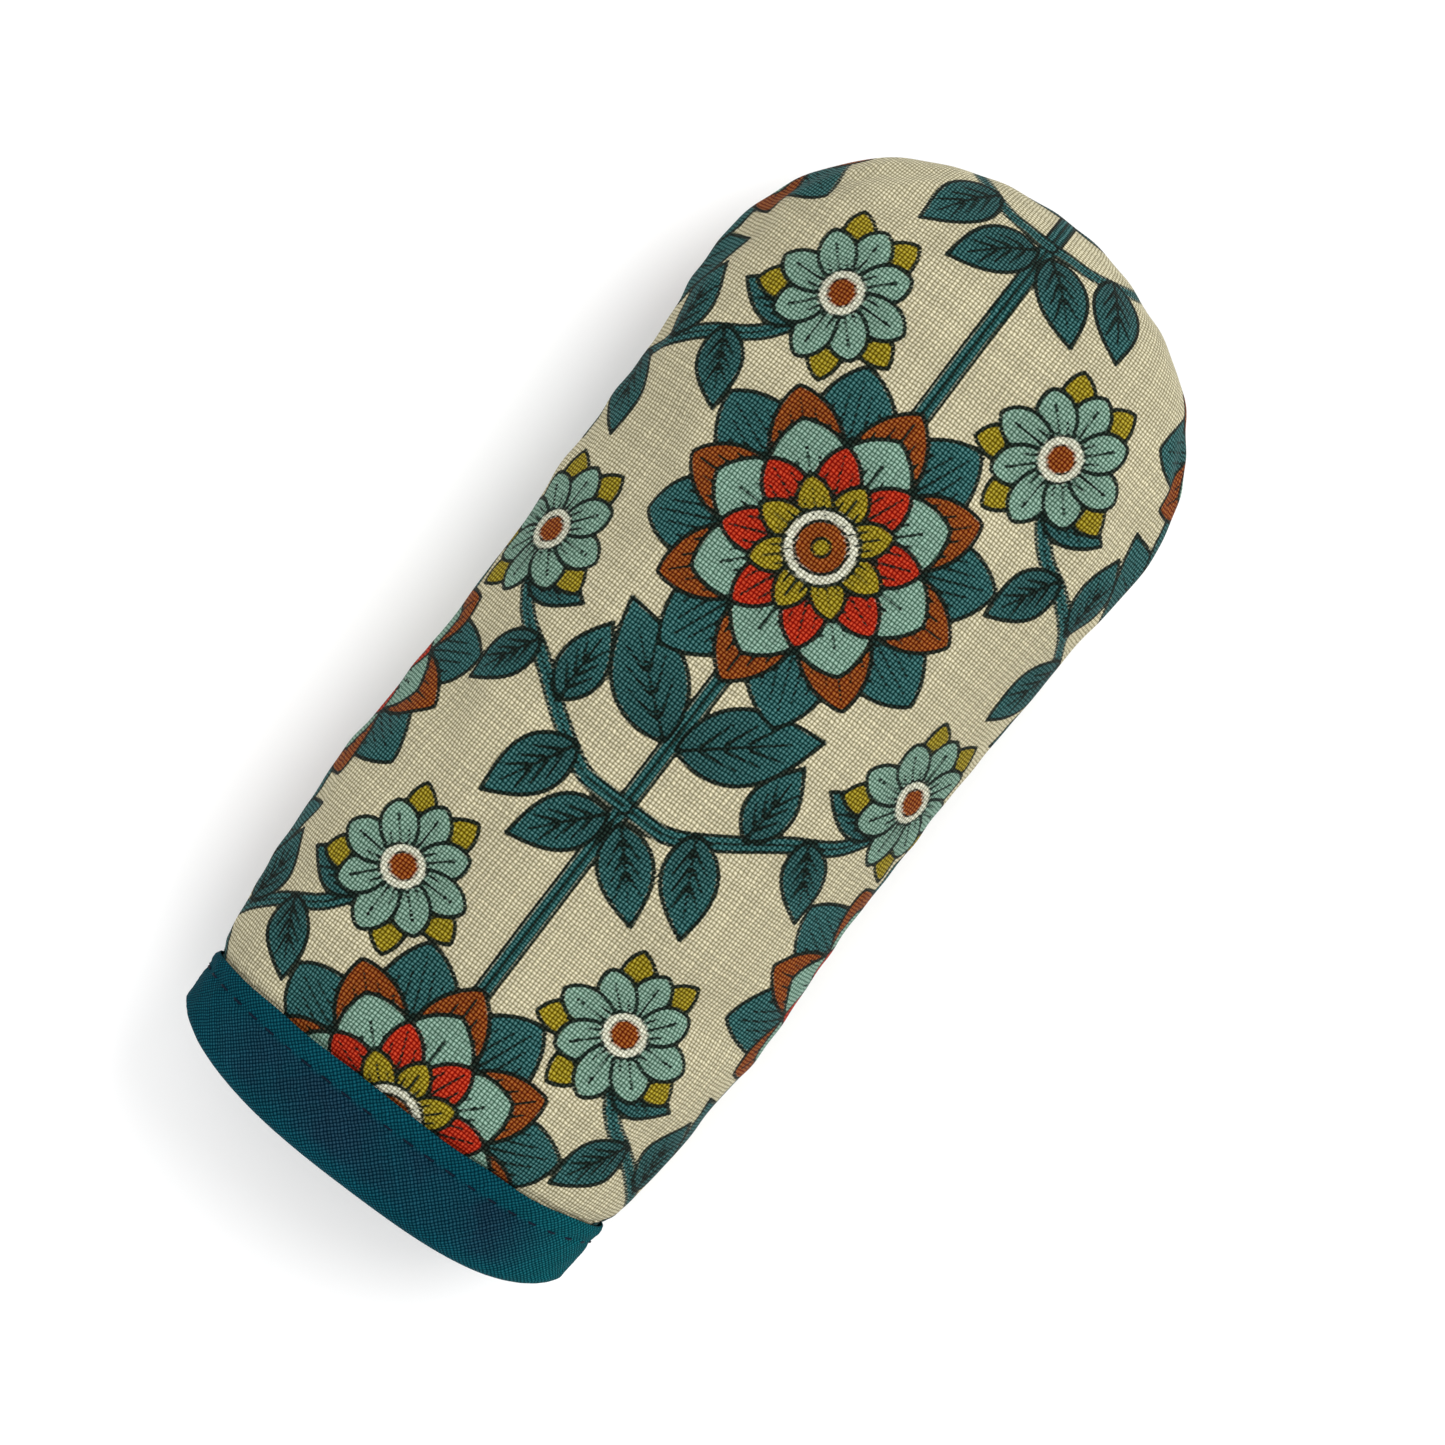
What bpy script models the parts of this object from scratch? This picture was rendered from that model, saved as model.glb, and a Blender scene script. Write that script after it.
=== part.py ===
"""A padded mitt without a thumb: a long, round-headed sleeve of printed cotton over wadding, a heat
barrier and a lining, with a bias binding folded over the rim of its open mouth.

It lies on its back: +Z up, the mouth at -Y, the head at +Y, and the origin under its middle on the
surface that it rests on. Units are metres.
"""

import math

import bmesh
import bpy

# Outline of the shell, seen from above
HALF_LENGTH = 0.0765
RIM_BOW = 0.0047  # how far the rim's middle stands out past its two sides
RIM_CORNER = 2.8  # a higher power keeps the rim straight for longer before its corners
HEAD_START = 0.0470  # where the elliptical head begins
HEAD_HALF_WIDTH = 0.0343
HALF_WIDTHS = (  # (y, half-width) of the sleeve between the rim and the head
    (-0.0765, 0.0294),
    (-0.0650, 0.0298),
    (-0.0600, 0.0305),
    (-0.0540, 0.0315),
    (-0.0450, 0.0326),
    (-0.0340, 0.0330),
    (-0.0100, 0.0325),
    (0.0200, 0.0332),
    (HEAD_START, HEAD_HALF_WIDTH),
)

# Section of the shell: two half-ellipses that meet at the side seam
SEAM_HEIGHT = 0.0185
BODY_HALF_HEIGHT = {"front": 0.0195, "back": 0.0200}
CUFF_HALF_HEIGHT = {"front": 0.0166, "back": 0.0160}
CUFF_END = -0.065  # below here the layers are pressed together
PUFFED_FROM = -0.040  # above here the wadding has its full loft

# Layers from the outside in: name, thickness in the body, thickness at the cuff, gap at the side seam
LAYERS = (
    ("shell", 0.0008, 0.0008, 0.0010),
    ("wadding", 0.0036, 0.0014, 0.0003),
    ("heat_barrier", 0.0012, 0.0008, 0.0003),
    ("lining", 0.0008, 0.0008, 0.0010),
)
CLEARANCE = 0.0003

# Binding, as distances from the rim along the sleeve
BINDING_THICKNESS = 0.0008
BINDING_OUTER_WIDTH = 0.0125
BINDING_INNER_WIDTH = 0.0110
CORNER_NARROWING = 0.08  # the share by which the binding is narrower at the two side seams
LAYER_EDGE = 0.0014  # where the layers stop, inside the binding's fold
STITCH_FROM_RIM = 0.0096
THREAD_RADIUS = 0.0002
SEAM_THREAD_START = 0.0020

# Grid of every layer
SEGMENTS_ACROSS = 14
SIDE_CROWDING = 0.08  # draws the segments towards the tightly curved sides
CUFF_ROWS = (LAYER_EDGE, 0.0055, STITCH_FROM_RIM, BINDING_OUTER_WIDTH, 0.0185, 0.0255)
BODY_ROWS = 6
HEAD_ANGLES = (18, 34, 48, 60, 70, 79)  # degrees round the head, before its tip

SIDES = {"front": 1, "back": -1}

# Colour, roughness, metallic
FINISHES = {
    "printed_cotton": ((0.55, 0.51, 0.33), 0.85, 0.0),
    "wadding": ((0.80, 0.78, 0.72), 0.95, 0.0),
    "heat_barrier": ((0.62, 0.63, 0.65), 0.45, 0.6),
    "lining": ((0.55, 0.53, 0.45), 0.90, 0.0),
    "teal_binding": ((0.005, 0.065, 0.085), 0.75, 0.0),
    "navy_thread": ((0.010, 0.022, 0.040), 0.60, 0.0),
    "cream_thread": ((0.50, 0.46, 0.34), 0.65, 0.0),
}


def clear_scene():
    for obj in list(bpy.data.objects):
        bpy.data.objects.remove(obj, do_unlink=True)


def material(name):
    if name in bpy.data.materials:
        return bpy.data.materials[name]
    colour, roughness, metallic = FINISHES[name]
    made = bpy.data.materials.new(name)
    made.use_nodes = True
    shader = made.node_tree.nodes["Principled BSDF"]
    shader.inputs["Base Color"].default_value = (*colour, 1.0)
    shader.inputs["Roughness"].default_value = roughness
    shader.inputs["Metallic"].default_value = metallic
    return made


def smoothstep(low, high, value):
    t = min(max((value - low) / (high - low), 0.0), 1.0)
    return t * t * (3.0 - 2.0 * t)


def station_slope(index):
    """The slope of the half-width curve at a station; level at both ends."""
    if index in (0, len(HALF_WIDTHS) - 1):
        return 0.0
    (y0, w0), (y2, w2) = HALF_WIDTHS[index - 1], HALF_WIDTHS[index + 1]
    return (w2 - w0) / (y2 - y0)


def sleeve_half_width(y):
    """A smooth curve through the stations of HALF_WIDTHS."""
    y = max(y, HALF_WIDTHS[0][0])
    index = max(i for i, (station, _) in enumerate(HALF_WIDTHS[:-1]) if station <= y)
    (y0, w0), (y1, w1) = HALF_WIDTHS[index], HALF_WIDTHS[index + 1]
    span = y1 - y0
    t = (y - y0) / span
    m0, m1 = station_slope(index) * span, station_slope(index + 1) * span
    return (
        (2 * t**3 - 3 * t**2 + 1) * w0
        + (t**3 - 2 * t**2 + t) * m0
        + (3 * t**2 - 2 * t**3) * w1
        + (t**3 - t**2) * m1
    )


def head_narrowing(y):
    """1 along the sleeve, falling to 0 at the tip of the head."""
    if y <= HEAD_START:
        return 1.0
    t = min((y - HEAD_START) / (HALF_LENGTH - HEAD_START), 1.0)
    return math.sqrt(1.0 - t * t)


def half_width(y):
    return sleeve_half_width(min(y, HEAD_START)) * head_narrowing(y)


def half_height(side, y):
    cuff, body = CUFF_HALF_HEIGHT[side], BODY_HALF_HEIGHT[side]
    return (cuff + (body - cuff) * smoothstep(CUFF_END, PUFFED_FROM, y)) * head_narrowing(y)


def cuff_y(angle, from_rim=0.0):
    """The y of a point that far up the sleeve from the rim, at an angle round the mouth.

    The rim bows out between the two side seams, where the binding is a little narrower.
    """
    corner = abs(math.cos(angle)) ** RIM_CORNER
    return -HALF_LENGTH + RIM_BOW * corner + from_rim * (1.0 - CORNER_NARROWING * corner)


def layer_depths(name, y):
    """How far under the shell's outer face a layer's outer and inner faces lie."""
    loft = smoothstep(CUFF_END, PUFFED_FROM, y)
    depth = 0.0
    for layer, body, cuff, _ in LAYERS:
        thickness = cuff + (body - cuff) * loft
        if layer == name:
            return depth, depth + thickness
        depth += thickness + CLEARANCE
    raise KeyError(name)


def seam_plane_point(side, angle, y):
    """A point of the shell's outer face, with z measured from the seam's height."""
    return (
        half_width(y) * math.cos(angle),
        y,
        SIDES[side] * half_height(side, y) * math.sin(angle),
    )


def outward(side, angle, y):
    """The unit normal of the shell's outer face."""
    if y >= HALF_LENGTH:
        return (0.0, 1.0, 0.0)
    step = 1e-6
    a, b = half_width(y), half_height(side, y)
    wider = (half_width(y - step) - a) / step
    higher = (half_height(side, y - step) - b) / step
    c, s = math.cos(angle), math.sin(angle)
    normal = (c / a, wider * c * c / a + higher * s * s / b, SIDES[side] * s / b)
    size = math.sqrt(sum(n * n for n in normal))
    return tuple(n / size for n in normal)


def sunk_point(side, angle, y, depth, seam_gap=0.0):
    """A point at a depth under the shell's face, clear of the other half and resting flat below."""
    point = seam_plane_point(side, angle, y)
    x, y, z = (p - depth * n for p, n in zip(point, outward(side, angle, y)))
    margin = seam_gap / 2
    rise = margin + abs(z) * (1.0 - margin / BODY_HALF_HEIGHT[side])
    return x, y, max(SEAM_HEIGHT + SIDES[side] * rise, depth)


def angles_across():
    """Angles from one side seam over the panel to the other."""
    even = [i / SEGMENTS_ACROSS for i in range(SEGMENTS_ACROSS + 1)]
    return [math.pi * (t - SIDE_CROWDING * math.sin(2 * math.pi * t)) for t in even]


def row_positions(angle):
    """The y of each row of the grid, from the rim to just short of the tip."""
    rows = [cuff_y(angle, s) for s in CUFF_ROWS]
    start = rows[-1]
    rows += [start + (HEAD_START - start) * (i + 1) / BODY_ROWS for i in range(BODY_ROWS)]
    reach = HALF_LENGTH - HEAD_START
    return rows + [HEAD_START + reach * math.sin(math.radians(a)) for a in HEAD_ANGLES]


def finish_mesh(name, mesh_data, finish):
    """Turns a bmesh into a smooth-shaded object."""
    bmesh.ops.recalc_face_normals(mesh_data, faces=mesh_data.faces)
    mesh = bpy.data.meshes.new(name)
    mesh_data.to_mesh(mesh)
    mesh_data.free()
    mesh.shade_smooth()
    mesh.set_sharp_from_angle(angle=math.radians(50))
    mesh.materials.append(material(finish))
    obj = bpy.data.objects.new(name, mesh)
    bpy.context.scene.collection.objects.link(obj)
    return obj


def add_skin(mesh_data, side, face, layer, seam_gap):
    """One face of a layer, 0 the outer and 1 the inner one; returns the vertices round its edge."""
    columns = angles_across()
    rows = []
    for row in range(len(row_positions(0.0))):
        verts = []
        for angle in columns:
            y = row_positions(angle)[row]
            depth = layer_depths(layer, y)[face]
            verts.append(mesh_data.verts.new(sunk_point(side, angle, y, depth, seam_gap)))
        rows.append(verts)
    depth = layer_depths(layer, HALF_LENGTH)[face]
    tip = mesh_data.verts.new(sunk_point(side, 0.0, HALF_LENGTH, depth, seam_gap))
    for low, high in zip(rows, rows[1:]):
        for i in range(SEGMENTS_ACROSS):
            mesh_data.faces.new((low[i], low[i + 1], high[i + 1], high[i]))
    for i in range(SEGMENTS_ACROSS):
        mesh_data.faces.new((rows[-1][i], rows[-1][i + 1], tip))
    far_side = [row[-1] for row in rows[1:]]
    near_side = [row[0] for row in rows[:0:-1]]
    return rows[0] + far_side + [tip] + near_side


def add_panel(layer, side, seam_gap, finish):
    """Half of one layer: an outer and an inner skin, joined round the mouth and the side seam."""
    mesh_data = bmesh.new()
    outer = add_skin(mesh_data, side, 0, layer, seam_gap)
    inner = add_skin(mesh_data, side, 1, layer, seam_gap)
    count = len(outer)
    for i in range(count):
        j = (i + 1) % count
        mesh_data.faces.new((outer[i], outer[j], inner[j], inner[i]))
    return finish_mesh(f"{layer}_{side}", mesh_data, finish)


def ring_angles():
    """(side, angle) pairs all the way round the mouth."""
    half = angles_across()
    front = [("front", angle) for angle in half[:-1]]
    return front + [("back", angle) for angle in reversed(half[1:])]


def binding_profile():
    """The binding's folded section, as (distance up from the rim, depth under the shell's face)."""
    inside = layer_depths("lining", -HALF_LENGTH)[1]
    leaf = CLEARANCE + BINDING_THICKNESS
    turn = 0.0025
    between = CUFF_ROWS[1:3]
    return (
        (BINDING_OUTER_WIDTH, -leaf),
        *((row, -leaf) for row in reversed(between)),
        (turn, -leaf),
        (turn * 0.3, -leaf * 0.4),
        (0.0, leaf * 0.9),
        (0.0, inside - leaf * 0.9),
        (turn * 0.3, inside + leaf * 0.4),
        (turn, inside + leaf),
        *((row, inside + leaf) for row in between),
        (BINDING_INNER_WIDTH, inside + leaf),
        (BINDING_INNER_WIDTH, inside + CLEARANCE),
        *((row, inside + CLEARANCE) for row in reversed(between)),
        (LAYER_EDGE - CLEARANCE, inside + CLEARANCE),
        (LAYER_EDGE - CLEARANCE, -CLEARANCE),
        *((row, -CLEARANCE) for row in between),
        (BINDING_OUTER_WIDTH, -CLEARANCE),
    )


def add_binding():
    """The strip folded over the rim, swept round the mouth as one closed ring."""
    mesh_data = bmesh.new()
    rings = []
    for side, angle in ring_angles():
        section = [
            sunk_point(side, angle, cuff_y(angle, from_rim), depth)
            for from_rim, depth in binding_profile()
        ]
        rings.append([mesh_data.verts.new(point) for point in section])
    for ring, following in zip(rings, rings[1:] + rings[:1]):
        for i in range(len(ring)):
            j = (i + 1) % len(ring)
            mesh_data.faces.new((ring[i], ring[j], following[j], following[i]))
    return finish_mesh("cuff_binding", mesh_data, "teal_binding")


def add_thread(name, points, finish, closed):
    """A thread as a thin round tube along a line of points."""
    curve = bpy.data.curves.new(name, "CURVE")
    curve.dimensions = "3D"
    curve.bevel_depth = THREAD_RADIUS
    curve.bevel_resolution = 1
    curve.use_fill_caps = True
    spline = curve.splines.new("POLY")
    spline.points.add(len(points) - 1)
    for point, position in zip(spline.points, points):
        point.co = (*position, 1.0)
    spline.use_cyclic_u = closed
    curve.materials.append(material(finish))
    obj = bpy.data.objects.new(name, curve)
    bpy.context.scene.collection.objects.link(obj)
    return obj


def add_stitch_row(name, depth):
    """A row of stitches round the cuff, lying on the binding at a depth under the shell's face."""
    points = [
        sunk_point(side, angle, cuff_y(angle, STITCH_FROM_RIM), depth)
        for side, angle in ring_angles()
    ]
    return add_thread(name, points, "navy_thread", closed=True)


def add_seam_thread(name, layer):
    """The thread of a layer's side seam, from one end of the rim round the head to the other."""
    rows = row_positions(0.0)[1:]
    stations = [cuff_y(0.0, SEAM_THREAD_START)] + rows
    stations = [y for pair in zip(stations, stations[1:]) for y in (pair[0], sum(pair) / 2)]
    stations.append(rows[-1])

    def at(y, angle):
        return sunk_point("front", angle, y, sum(layer_depths(layer, y)) / 2)

    right = [at(y, 0.0) for y in stations]
    left = [(-x, y, z) for x, y, z in reversed(right)]
    return add_thread(name, right + [at(HALF_LENGTH, 0.0)] + left, "cream_thread", closed=False)


def build():
    clear_scene()
    finishes = {"shell": "printed_cotton"}
    for layer, _, _, seam_gap in LAYERS:
        for side in SIDES:
            add_panel(layer, side, seam_gap, finishes.get(layer, layer))
    add_binding()
    leaf = CLEARANCE + BINDING_THICKNESS
    proud = leaf + CLEARANCE + THREAD_RADIUS
    inside = layer_depths("lining", -HALF_LENGTH)[1]
    add_stitch_row("binding_topstitch", -proud)
    add_stitch_row("binding_inner_stitch", inside + proud)
    add_seam_thread("shell_seam_thread", "shell")
    add_seam_thread("lining_seam_thread", "lining")


build()
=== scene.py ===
"""The looks of a thumbless padded mitt: printed cotton shells with a puckered side seam, wadding, heat
barrier, lining, a bias binding folded over the rim and the stitches that hold it.

Everything is in metres, in the CAD frame: +Z up, the mouth at -Y, the head at +Y.
"""

import math

import bpy
import numpy as np
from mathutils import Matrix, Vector


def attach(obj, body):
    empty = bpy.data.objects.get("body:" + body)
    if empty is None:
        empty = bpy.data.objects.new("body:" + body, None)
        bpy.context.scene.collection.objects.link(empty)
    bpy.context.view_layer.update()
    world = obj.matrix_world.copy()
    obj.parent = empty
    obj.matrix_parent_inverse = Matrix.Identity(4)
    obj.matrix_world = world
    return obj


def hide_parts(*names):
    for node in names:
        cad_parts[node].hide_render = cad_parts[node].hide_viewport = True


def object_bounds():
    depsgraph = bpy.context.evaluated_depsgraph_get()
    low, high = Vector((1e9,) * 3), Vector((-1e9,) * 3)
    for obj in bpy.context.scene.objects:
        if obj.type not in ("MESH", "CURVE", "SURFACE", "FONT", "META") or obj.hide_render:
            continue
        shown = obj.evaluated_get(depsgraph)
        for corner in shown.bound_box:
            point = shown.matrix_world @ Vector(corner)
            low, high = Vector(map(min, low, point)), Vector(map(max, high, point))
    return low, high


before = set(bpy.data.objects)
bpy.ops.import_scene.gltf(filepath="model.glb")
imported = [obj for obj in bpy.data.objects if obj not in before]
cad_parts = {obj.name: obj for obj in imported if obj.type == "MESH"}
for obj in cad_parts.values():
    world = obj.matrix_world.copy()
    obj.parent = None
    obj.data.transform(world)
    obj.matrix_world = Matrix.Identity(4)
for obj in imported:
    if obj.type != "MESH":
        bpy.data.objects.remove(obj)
CAD_BOX = [[float(c) for c in corner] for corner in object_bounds()]

# -------- driving dimensions

HALF_LENGTH = CAD_BOX[1][1]
HEAD_HALF_WIDTH = CAD_BOX[1][0]
HEIGHT = CAD_BOX[1][2]
HEAD_START = 0.0470
RIM_BOW = 0.0032  # how far the rim's corners sit back from its middle
CORNER_POWERS = (3.0, 4.0)  # left and right: how late the bow starts
CORNER_NARROWINGS = (0.26, 0.12)  # left and right: how much the band narrows there
CORNER_ROUNDING, ROUNDED_REACH = 0.0010, 0.0060  # the rim's last turn, and how far up it shows
CORNER_SHARPNESS = 18  # the power that keeps that turn to the very corner
HALF_WIDTHS = (  # (y, half width) from the rim to where the head starts
    (-0.0765, 0.0294), (-0.0650, 0.0298), (-0.0600, 0.0305), (-0.0540, 0.0315), (-0.0450, 0.0326),
    (-0.0340, 0.0330), (-0.0100, 0.0325), (0.0200, 0.0332), (HEAD_START, HEAD_HALF_WIDTH),
)
SEAM_HEIGHT = 0.0185
TABLE_SHOULDER, TABLE_CLEARANCE = 0.0006, 2e-5  # the turn up from the underside, and its gap
BODY_HALF_HEIGHT = {"front": HEIGHT - SEAM_HEIGHT, "back": 0.0200}
CUFF_HALF_HEIGHT = {"front": 0.0166, "back": 0.0160}
CUFF_END, PUFFED_FROM = -0.065, -0.040
SIDES = {"front": 1, "back": -1}

# Layers under the shell's face: (thickness in the body, thickness at the cuff)
LAYERS = {
    "shell": (0.0008, 0.0008),
    "wadding": (0.0036, 0.0014),
    "heat_barrier": (0.0012, 0.0008),
    "lining": (0.0008, 0.0008),
}
CLEARANCE = 0.0003  # between layers
SEAM_MARGIN = 0.0006  # room at the seam plane for the shells' turned-in allowances

BINDING_WIDTH = 0.0125
BINDING_INSIDE = 0.0110
BINDING_THICKNESS = 0.00045
BINDING_GAP = 0.00020  # between the pressed layers and the strip that grips them
STITCH_FROM_RIM = 0.0096
STITCH_PITCH = 0.0032
LAYER_EDGE = 0.0014  # where the wadding and heat barrier stop, inside the binding's fold
FOLDED_EDGE = 0.0030  # where the shell and lining stop, short of the fold's rounded corners

THREAD_PITCH = 0.0005  # of the printed cotton
BINDING_PITCH = 0.00044
LINING_PITCH = 0.00042


# -------- the sleeve's surface

def smoothstep(low, high, value):
    t = np.clip((np.asarray(value, float) - low) / (high - low), 0.0, 1.0)
    return t * t * (3.0 - 2.0 * t)


def bell(value, width):
    return np.exp(-((value / width) ** 2))


def unit(vectors):
    return vectors / np.linalg.norm(vectors, axis=-1, keepdims=True)


def path_length(*coordinates):
    """Running length along a line of points, from 0 at its start."""
    steps = np.sqrt(sum(np.diff(values) ** 2 for values in coordinates))
    return np.concatenate([[0], np.cumsum(steps)])


def hermite(stations, x):
    """A smooth curve through (x, value) stations, level at both ends."""
    xs, values = np.array(stations).T
    slopes = np.zeros_like(values)
    slopes[1:-1] = (values[2:] - values[:-2]) / (xs[2:] - xs[:-2])
    x = np.clip(x, xs[0], xs[-1])
    i = np.clip(np.searchsorted(xs, x, side="right") - 1, 0, len(xs) - 2)
    span = xs[i + 1] - xs[i]
    t = (x - xs[i]) / span
    return (
        (2 * t**3 - 3 * t**2 + 1) * values[i]
        + (t**3 - 2 * t**2 + t) * slopes[i] * span
        + (3 * t**2 - 2 * t**3) * values[i + 1]
        + (t**3 - t**2) * slopes[i + 1] * span
    )


def head_narrowing(y):
    t = np.clip((y - HEAD_START) / (HALF_LENGTH - HEAD_START), 0.0, 1.0)
    return np.sqrt(1.0 - t * t)


def half_width(y):
    return hermite(HALF_WIDTHS, y) * head_narrowing(y)


def half_height(side, y):
    cuff, body = CUFF_HALF_HEIGHT[side], BODY_HALF_HEIGHT[side]
    return (cuff + (body - cuff) * smoothstep(CUFF_END, PUFFED_FROM, y)) * head_narrowing(y)


def cuff_y(angle, from_rim=0.0):
    """The y of a point that far up the sleeve from the rim, at an angle round the mouth."""
    across = np.cos(angle)
    y = -HALF_LENGTH + from_rim
    for way, power, narrowing in zip((-1, 1), CORNER_POWERS, CORNER_NARROWINGS):
        corner = np.maximum(way * across, 0.0)
        bow = corner**power
        rounding = CORNER_ROUNDING * corner**CORNER_SHARPNESS
        rounding = rounding * np.maximum(1.0 - from_rim / ROUNDED_REACH, 0.0)
        y = y + (RIM_BOW - narrowing * from_rim) * bow + rounding
    return y


def layer_depths(name, y):
    """Depth of a layer's outer and inner faces under the shell's face."""
    loft = smoothstep(CUFF_END, PUFFED_FROM, y)
    depth = np.zeros_like(loft)
    for layer, (body, cuff) in LAYERS.items():
        thickness = cuff + (body - cuff) * loft
        if layer == name:
            break
        depth = depth + thickness + CLEARANCE
    return depth, depth + thickness


def surface(side, angle, y):
    """Points of the shell's face, with z from the seam, and its outward unit normals."""
    y = np.minimum(y, HALF_LENGTH - 2e-6)
    a, b = half_width(y), half_height(side, y)
    step = 1e-6
    wider = (half_width(y - step) - a) / step
    higher = (half_height(side, y - step) - b) / step
    c, s = np.cos(angle), np.sin(angle)
    points = np.stack([a * c, y, SIDES[side] * b * s], -1)
    normals = np.stack([c / a, wider * c * c / a + higher * s * s / b, SIDES[side] * s / b], -1)
    return points, unit(normals)


def settle(points, lowest=0.0):
    """Flattens what would reach below the surface that the mitt rests on, with a soft shoulder."""
    z = points[..., 2] - lowest
    raised = 0.5 * (z + np.sqrt(z * z + TABLE_SHOULDER**2)) - 0.25 * TABLE_SHOULDER
    points[..., 2] = lowest + np.maximum(raised, TABLE_CLEARANCE)
    return points


def sunk(side, angle, y, depth, margin=0.0, moved=None):
    """Points at a depth under the shell's face, kept that margin from the seam plane."""
    points, normals = surface(side, angle, y)
    points = points - np.asarray(depth)[..., None] * normals
    if moved is not None:
        points = points + moved
    rise = SIDES[side] * points[..., 2]
    shrink = 1.0 - margin / BODY_HALF_HEIGHT["back"]
    points[..., 2] = SEAM_HEIGHT + SIDES[side] * (margin + np.abs(rise) * shrink)
    return points


def ridge_table(side):
    """(cloth length along the ridge, y) pairs from the start of the head to its tip."""
    reach = HALF_LENGTH - HEAD_START
    turn = np.linspace(0.0, math.pi / 2, 600)
    y = HEAD_START + reach * np.sin(turn)
    z = BODY_HALF_HEIGHT[side] * np.cos(turn)
    return HEAD_START + path_length(y, z), y


def quarter_arc(side, y):
    """Arc length round a quarter of the section at y, from the side seam, and its angles."""
    angle = np.linspace(0.0, math.pi / 2, 240)
    return path_length(half_width(y) * np.cos(angle), half_height(side, y) * np.sin(angle)), angle


class Panel:
    """A front or back panel as a grid: rows run from the rim to the head, columns across."""

    def __init__(self, side, columns, rows, edge=LAYER_EDGE):
        self.side = side
        length, ridge_y = ridge_table(side)
        self.across = np.linspace(-1.0, 1.0, columns + 1)
        self.along = np.linspace(0.0, 1.0, rows + 1)[:-1]
        start = cuff_y(self.angles(-HALF_LENGTH)[0], edge)
        self.v = start + (length[-1] - start) * self.along[:, None]
        self.y = np.where(self.v < HEAD_START, self.v, np.interp(self.v, length, ridge_y))
        found = [self.angles(row[columns // 2]) for row in self.y]
        self.angle = np.array([angle for angle, _ in found])
        self.half_span = np.array([span for _, span in found])
        self.u = self.half_span[:, None] * self.across
        self.tip_v = length[-1]

    def angles(self, y):
        """Angles at even arc steps across the panel at y, and half the panel's span there."""
        arc, angle = quarter_arc(self.side, min(y, HALF_LENGTH - 1e-5))
        quarter = np.interp((1.0 - np.abs(self.across)) * arc[-1], arc, angle)
        return np.where(self.across > 0, quarter, math.pi - quarter), arc[-1]


# -------- meshes

def grid_faces(rows, columns, offset=0, closed=False):
    """Quads of a grid of points; closed joins the last column to the first."""
    r = np.arange(rows - 1)[:, None] * columns
    c = np.arange(columns if closed else columns - 1)
    following = (c + 1) % columns
    quads = np.stack([r + c, r + following, r + columns + following, r + columns + c], -1)
    return quads.reshape(-1, 4) + offset


def added(name, data):
    obj = bpy.data.objects.new(name, data)
    bpy.context.scene.collection.objects.link(obj)
    return obj


def new_mesh(name, points, faces, material, attributes=(), flip=False):
    """A smooth-shaded object from points and faces, with named point attributes."""
    mesh = bpy.data.meshes.new(name)
    if flip:
        faces = [tuple(reversed(face)) for face in faces]
    mesh.from_pydata(np.asarray(points, float).tolist(), [], [tuple(map(int, f)) for f in faces])
    for attribute, values in attributes:
        values = np.asarray(values, np.float32)
        kind, key = ("FLOAT", "value") if values.ndim == 1 else ("FLOAT_VECTOR", "vector")
        mesh.attributes.new(attribute, kind, "POINT").data.foreach_set(key, values.ravel())
    mesh.shade_smooth()
    mesh.materials.append(material)
    mesh.update()
    return added(name, mesh)


WAVES = 7


def smooth_noise(points, scale, seed):
    """Slow waves through space, mostly from -1 to 1: a sum of sines from a fixed seed."""
    rng = np.random.default_rng(seed)
    total = np.zeros(points.shape[:-1])
    for _ in range(WAVES):
        direction = rng.normal(size=3)
        direction *= (0.6 + 0.8 * rng.random()) * 2 * math.pi / scale / np.linalg.norm(direction)
        total += np.sin(points @ direction + rng.random() * 2 * math.pi)
    return total / WAVES * 1.6


# -------- cloth simulation

SIM_COLUMNS, SIM_ROWS = 30, 52
SIM_FRAMES = 20
SLACK = 0.035  # the share by which the cloth is cut loose
RESTING_BELOW = 0.0012  # the height under which the sleeve lies held on the table
MOST_LIFT, MOST_DIP = 0.0011, 0.0004
SLIDE_SHARE = 0.5  # of the moves along the surface, how much is kept
CALM_HEAD = (0.88, 0.97)  # where along the panel the puckers fade, short of the tip


def evened(grid):
    """The same grid without the row-to-row zigzag that a coarse cloth buckles into."""
    padded = np.pad(grid, ((1, 1), (0, 0), (0, 0)), mode="edge")
    return 0.25 * padded[:-2] + 0.5 * grid + 0.25 * padded[2:]


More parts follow.
